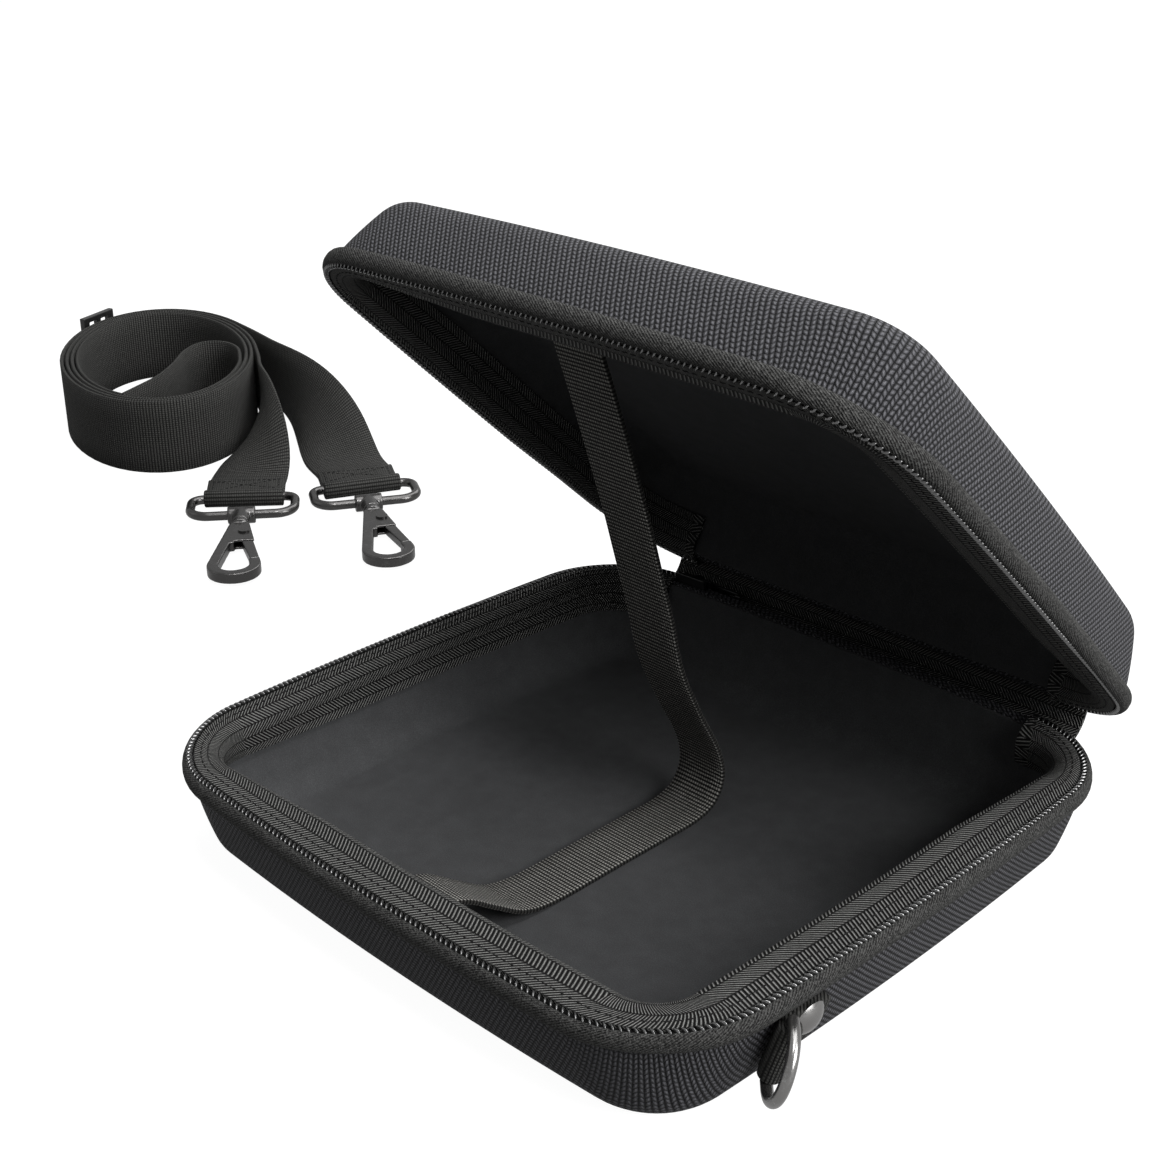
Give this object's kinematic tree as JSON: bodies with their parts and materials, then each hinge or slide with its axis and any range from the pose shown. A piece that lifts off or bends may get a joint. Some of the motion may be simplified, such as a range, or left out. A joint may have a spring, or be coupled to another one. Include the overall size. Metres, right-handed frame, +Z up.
{
  "type": "zipped hard carrying case",
  "caption": "Fabric covered hard case with hinged lid, zip round three sides, ring tabs on both ends and a rolled detachable shoulder strap.",
  "frame": {"origin": "middle of the base's underside, on the surface that the case stands on", "axes": "+X to the right along the hinge, +Y from the front to the hinge, +Z up"},
  "size_m": [0.6914, 0.3097, 0.2076],
  "materials": {
    "shell_cloth": "coarse basket weave laminated to the moulded wall",
    "band_cloth": "fine speckled binding cloth",
    "tape": "herringbone woven zip tape",
    "lining": "smooth dark knitted lining",
    "coil": "glossy black zip teeth",
    "webbing": "ribbed webbing",
    "thin_webbing": "thin soft ribbon",
    "bright_metal": "satin plated steel",
    "dark_metal": "dark gunmetal plating",
    "slider_metal": "black enamel",
    "dark_plastic": "moulded black plastic"
  },
  "bodies": {
    "base": {"base_shell": "shell_cloth", "base_lining": "lining", "base_rim_band": "band_cloth", "base_inner_tape": "tape", "base_zip_teeth": "coil", "base_zip_stops": "slider_metal", "hinge_spine": "tape", "stay_strap": "thin_webbing", "ring_tab_right": "webbing", "ring_tab_left": "webbing", "tab_rivet_right": "dark_metal", "tab_rivet_left": "dark_metal", "rivet_washer_right": "bright_metal", "rivet_washer_left": "bright_metal"},
    "lid": {"lid_shell": "shell_cloth", "lid_lining": "lining", "lid_rim_band": "band_cloth", "lid_inner_tape": "tape", "lid_zip_teeth": "coil", "lid_zip_stops": "slider_metal"},
    "slider": {"zip_slider": "slider_metal"},
    "pull": {"zip_pull": "slider_metal"},
    "ring_right": {"d_ring_right": "dark_metal"},
    "ring_left": {"d_ring_left": "dark_metal"},
    "strap": {"strap_roll": "webbing", "strap_tail_1": "webbing", "strap_tail_2": "webbing", "strap_adjuster": "dark_plastic"},
    "strap_ring_1": {"strap_ring_1": "dark_metal"},
    "strap_ring_2": {"strap_ring_2": "dark_metal"},
    "swivel_1": {"hook_swivel_1": "dark_metal"},
    "swivel_2": {"hook_swivel_2": "dark_metal"},
    "hook_1": {"hook_body_1": "dark_metal", "hook_pin_1": "dark_metal"},
    "hook_2": {"hook_body_2": "dark_metal", "hook_pin_2": "dark_metal"},
    "gate_1": {"hook_gate_1": "dark_metal"},
    "gate_2": {"hook_gate_2": "dark_metal"}
  },
  "joints": [
    {"name": "lid_hinge", "type": "hinge", "parent": "base", "child": "lid", "pos_m": [0, 0.118, 0.025], "axis": [-1, 0, 0], "range_deg": [-43, 67], "deforming": ["hinge_spine", "stay_strap"]},
    {"name": "slider_travel", "type": "slide", "parent": "base", "child": "slider", "axis": [0.9987, 0.0502, 0], "range_m": [0, 0.012]},
    {"name": "pull_swing", "type": "hinge", "parent": "slider", "child": "pull", "pos_m": [-0.07509, 0.11639, 0.0341], "axis": [0, 0, 1], "range_deg": [0, 20]},
    {"name": "right_ring_swing", "type": "hinge", "parent": "base", "child": "ring_right", "pos_m": [0.11964, -0.06772, 0.02048], "axis": [0.2571, 0.1303, 0.9576], "range_deg": [-40, 50]},
    {"name": "left_ring_swing", "type": "hinge", "parent": "base", "child": "ring_left", "pos_m": [-0.11964, -0.06772, 0.02048], "axis": [0.2571, -0.1303, -0.9576], "range_deg": [-40, 50]},
    {"name": "strap_place", "type": "slide", "parent": "base", "child": "strap", "axis": [-1, 0, 0], "range_m": [0, 0.1]},
    {"name": "strap_ring_1_swing", "type": "hinge", "parent": "strap", "child": "strap_ring_1", "pos_m": [-0.34248, 0.08469, 0.00423], "axis": [-0.6198, -0.7848, 0], "range_deg": [-90, 95]},
    {"name": "swivel_1_swing", "type": "hinge", "parent": "strap_ring_1", "child": "swivel_1", "pos_m": [-0.32552, 0.07131, 0.00423], "axis": [-0.6198, -0.7848, 0], "range_deg": [-90, 70]},
    {"name": "hook_1_turn", "type": "hinge", "parent": "swivel_1", "child": "hook_1", "pos_m": [-0.31925, 0.06635, 0.00423], "axis": [0.7848, -0.6198, 0], "continuous": true},
    {"name": "gate_1_press", "type": "hinge", "parent": "hook_1", "child": "gate_1", "pos_m": [-0.30414, 0.05773, 0.00423], "axis": [0, 0, -1], "range_deg": [0, 14], "stiffness_Nm_per_rad": 0.05},
    {"name": "strap_ring_2_swing", "type": "hinge", "parent": "strap", "child": "strap_ring_2", "pos_m": [-0.31332, 0.13447, 0.00423], "axis": [-0.506, -0.8625, 0], "range_deg": [-90, 95]},
    {"name": "swivel_2_swing", "type": "hinge", "parent": "strap_ring_2", "child": "swivel_2", "pos_m": [-0.29468, 0.12353, 0.00423], "axis": [-0.506, -0.8625, 0], "range_deg": [-90, 70]},
    {"name": "hook_2_turn", "type": "hinge", "parent": "swivel_2", "child": "hook_2", "pos_m": [-0.28778, 0.11949, 0.00423], "axis": [0.8625, -0.506, 0], "continuous": true},
    {"name": "gate_2_press", "type": "hinge", "parent": "hook_2", "child": "gate_2", "pos_m": [-0.27163, 0.11303, 0.00423], "axis": [0, 0, -1], "range_deg": [0, 14], "stiffness_Nm_per_rad": 0.05}
  ]
}
